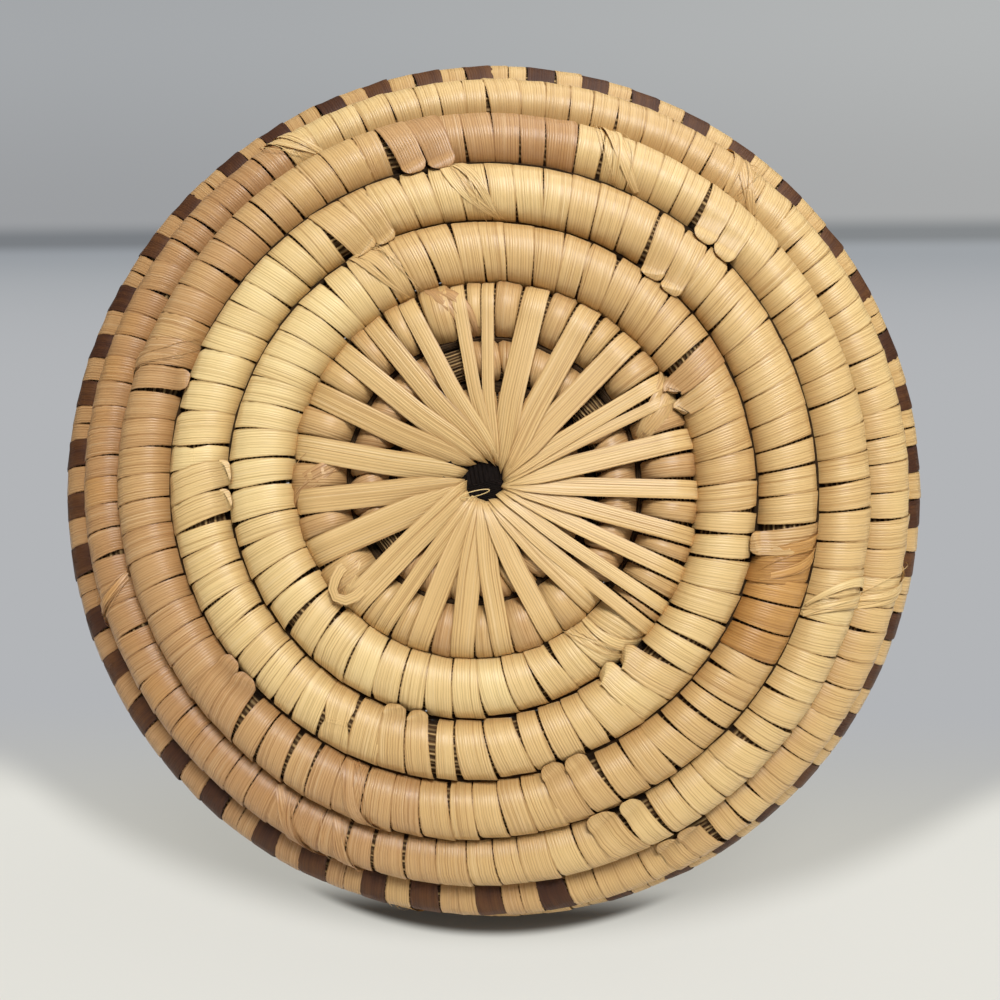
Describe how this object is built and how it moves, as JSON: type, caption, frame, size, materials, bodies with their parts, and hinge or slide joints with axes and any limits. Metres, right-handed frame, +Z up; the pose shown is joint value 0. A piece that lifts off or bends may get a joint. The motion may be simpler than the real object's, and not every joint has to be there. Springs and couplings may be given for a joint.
{
  "type": "coiled basket",
  "caption": "Squat round coiled basket with a starburst base, a rounded shoulder, a dyed check band and an inward-leaning wall up to an open mouth.",
  "frame": {"origin": "under the centre of the base, on the plane that the basket stands on", "axes": "+Z up out of the mouth, along the basket's axis. The edge of the starburst's disc starts towards -Y"},
  "size_m": [0.1492, 0.1492, 0.0667],
  "materials": {
    "grass_bundle": "dry grass bundle, matt",
    "pale_splint": "pale yellow flat splint, satin, fine lengthwise veins",
    "straw_splint": "straw-coloured flat splint, satin, fine lengthwise veins",
    "tan_splint": "pinkish-tan flat splint, satin, fine lengthwise veins",
    "dyed_splint": "dark brown dyed flat splint, satin"
  },
  "bodies": {
    "root": {"foundation_bundle": "grass_bundle", "start_wrap_inner": "pale_splint", "start_wrap_outer": "pale_splint", "edge_wrap": "pale_splint", "base_wrap_inner": "pale_splint", "base_wrap_outer": "straw_splint", "shoulder_wrap_lower": "tan_splint", "shoulder_wrap_upper": "tan_splint", "band_wrap": "dyed_splint", "wall_wrap_1": "tan_splint", "wall_wrap_2": "straw_splint", "wall_wrap_3": "tan_splint", "rim_wrap": "straw_splint", "tail_wrap": "straw_splint", "splint_01": "pale_splint", "splint_02": "pale_splint", "splint_03": "pale_splint", "splint_04": "pale_splint", "splint_05": "pale_splint", "splint_06": "pale_splint", "splint_07": "pale_splint", "splint_08": "pale_splint", "splint_09": "pale_splint", "splint_10": "pale_splint", "splint_11": "pale_splint", "splint_12": "pale_splint", "splint_13": "pale_splint", "splint_14": "pale_splint", "splint_15": "pale_splint", "splint_16": "pale_splint", "splint_17": "pale_splint", "splint_18": "pale_splint", "splint_19": "pale_splint", "splint_20": "pale_splint", "splint_21": "pale_splint", "splint_22": "pale_splint", "splint_23": "pale_splint", "splint_24": "pale_splint", "splint_25": "pale_splint", "splint_26": "pale_splint", "splint_27": "pale_splint", "splint_28": "pale_splint"}
  },
  "joints": []
}
